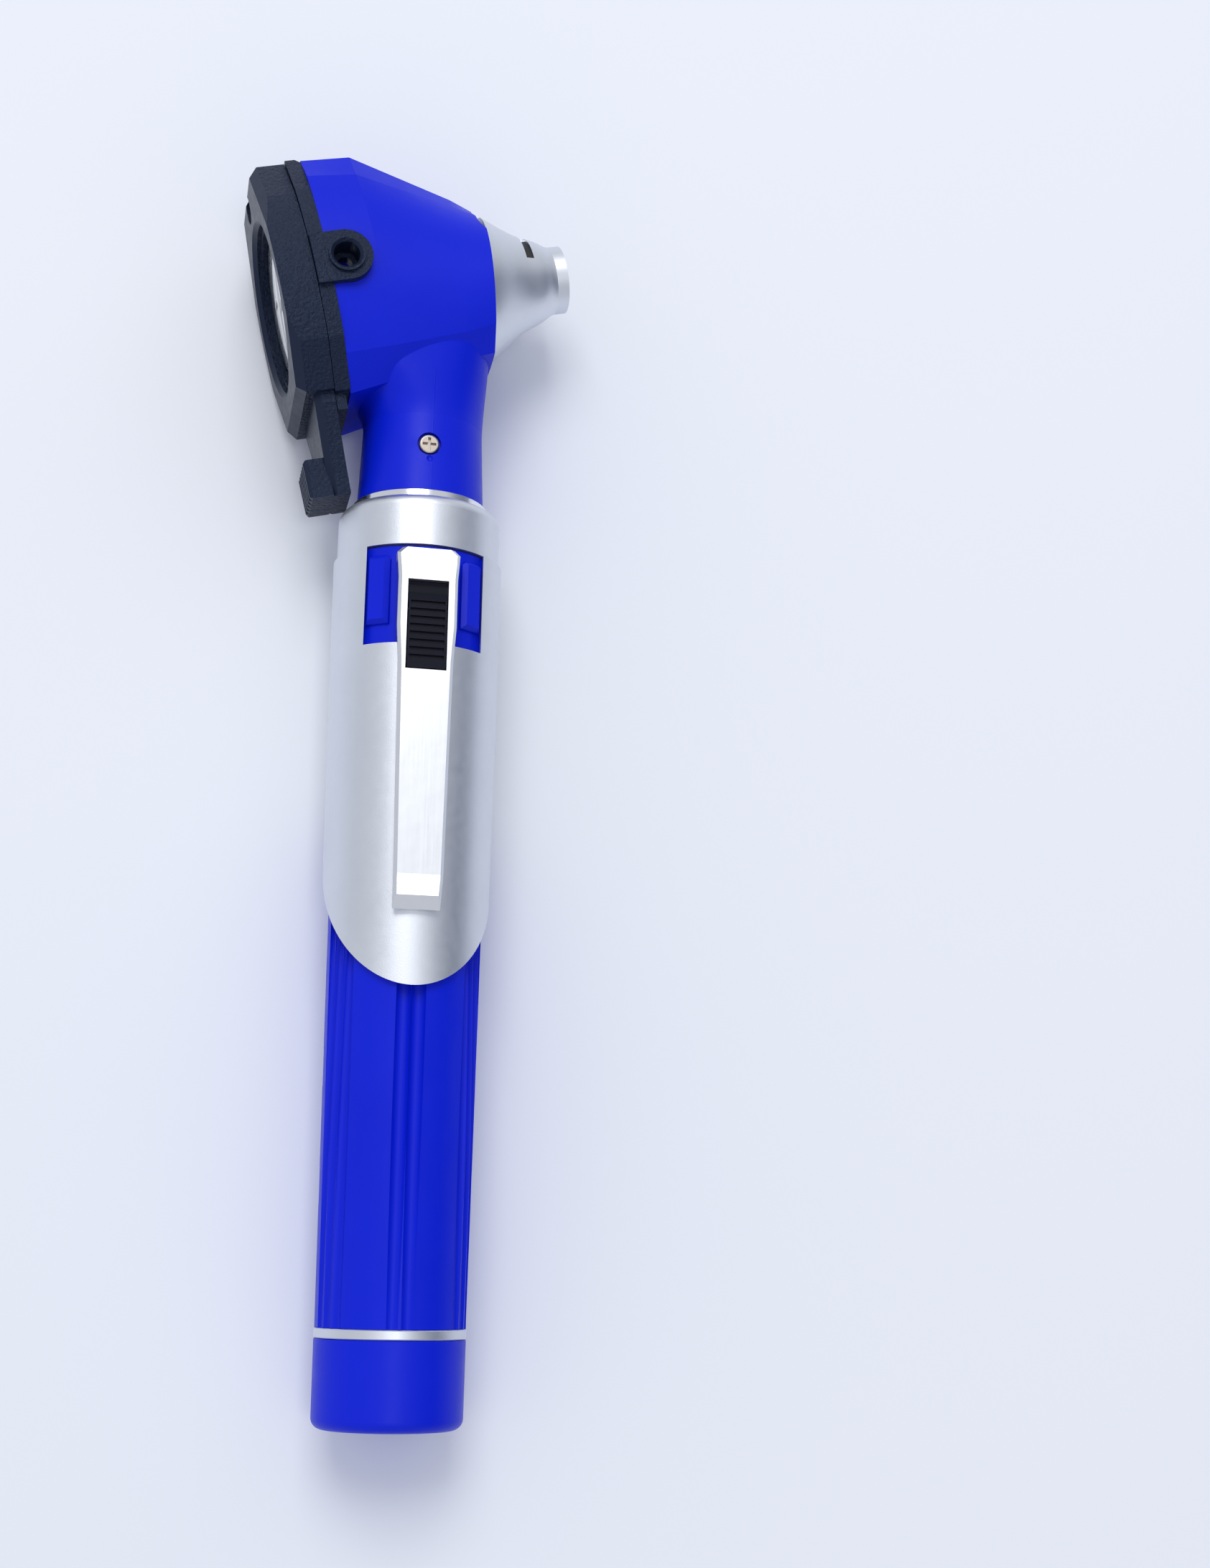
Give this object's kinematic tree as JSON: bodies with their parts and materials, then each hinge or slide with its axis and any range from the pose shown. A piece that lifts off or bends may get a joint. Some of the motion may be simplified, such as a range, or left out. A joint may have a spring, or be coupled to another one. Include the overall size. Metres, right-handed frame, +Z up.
{
  "type": "otoscope",
  "caption": "Pocket otoscope lying on its side: round fluted battery handle with metal sleeve, pocket clip and thumb switch, angled head with swinging lens window.",
  "frame": {"origin": "centre of the footprint at table height, with the instrument lying as it rests on a table", "axes": "+Y runs from the head to the end cap, -X is the way the nose points, +Z is up, with the pocket clip on top"},
  "size_m": [0.0458, 0.1672, 0.0297],
  "materials": {
    "black_plastic": "fine grained black plastic",
    "black_rubber": "matt",
    "black_slider": "plain black plastic, ribbed",
    "black_tube": "dead black, to keep stray light out",
    "blue_plastic": "satin moulded plastic, royal blue",
    "bright_metal": "bright plated",
    "cell_jacket": "plain printed jacket with no marks",
    "clear_lens": "polished, clear",
    "clip_metal": "satin, smooth",
    "contact_metal": "bare, lightly polished",
    "dark_screw": "darkened steel, slightly brown",
    "fibre_bundle": "bundled fibres, ends ground flat",
    "lamp_glass": "polished, clear",
    "nose_metal": "satin silver, turned",
    "satin_silver": "satin silver, finely blasted",
    "screw_steel": "bright plated",
    "white_insulator": "plain moulded plastic"
  },
  "bodies": {
    "handle": {"handle_tube": "blue_plastic", "handle_sleeve": "satin_silver", "collar_ring": "satin_silver", "neck_socket": "bright_metal", "trim_ring": "satin_silver", "cap_seal": "black_rubber", "rear_cell": "cell_jacket", "front_cell": "cell_jacket", "contact_stud": "contact_metal", "insulator_bush": "white_insulator", "contact_strip": "contact_metal", "clip_stud": "screw_steel"},
    "clip": {"pocket_clip": "clip_metal"},
    "switch": {"switch_slider": "black_slider", "switch_contact": "contact_metal"},
    "cap_contacts": {"cap_contact_plate": "contact_metal", "cap_contact_spring": "contact_metal"},
    "cap": {"end_cap": "blue_plastic"},
    "head": {"head_housing": "blue_plastic", "neck_screw": "dark_screw", "head_connector": "bright_metal", "bulb_base": "bright_metal", "bulb_glass": "lamp_glass", "nose_cone": "nose_metal", "sight_tube": "black_tube", "light_guide": "fibre_bundle", "base_plate": "black_plastic", "plate_gasket": "black_rubber", "plate_screws": "screw_steel", "window_pivot_screw": "dark_screw", "pivot_washer": "screw_steel"},
    "window": {"window_frame": "black_plastic", "magnifier_lens": "clear_lens", "lens_retaining_ring": "black_plastic"}
  },
  "joints": [
    {"name": "window_swing", "type": "hinge", "parent": "head", "child": "window", "pos_m": [0.01952, -0.07849, 0.01614], "axis": [0.9648, 0.2479, 0.0877], "range_deg": [0, 85]},
    {"name": "switch_slide", "type": "slide", "parent": "handle", "child": "switch", "axis": [0, -0.9996, 0.0279], "range_m": [0, 0.0016]},
    {"name": "clip_flex", "type": "hinge", "parent": "handle", "child": "clip", "pos_m": [-0.00422, -0.02603, 0.0236], "axis": [0.9952, 0.0027, 0.0975], "range_deg": [0, 3], "stiffness_Nm_per_rad": 1.2},
    {"name": "cap_travel", "type": "slide", "parent": "handle", "child": "cap_contacts", "axis": [0, 0.9996, -0.0279], "range_m": [0, 0.0075]},
    {"name": "cap_turn", "type": "hinge", "parent": "cap_contacts", "child": "cap", "pos_m": [-0.00313, 0.07842, 0.00954], "axis": [0, 0.9996, -0.0279], "range_deg": [0, 1080]},
    {"name": "head_pull", "type": "slide", "parent": "handle", "child": "head", "axis": [0, -0.9996, 0.0279], "range_m": [0, 0.007]}
  ],
  "couplings": [
    {"joint": "cap_turn", "follows": "cap_travel", "rad_per_m": 2513.3}
  ]
}
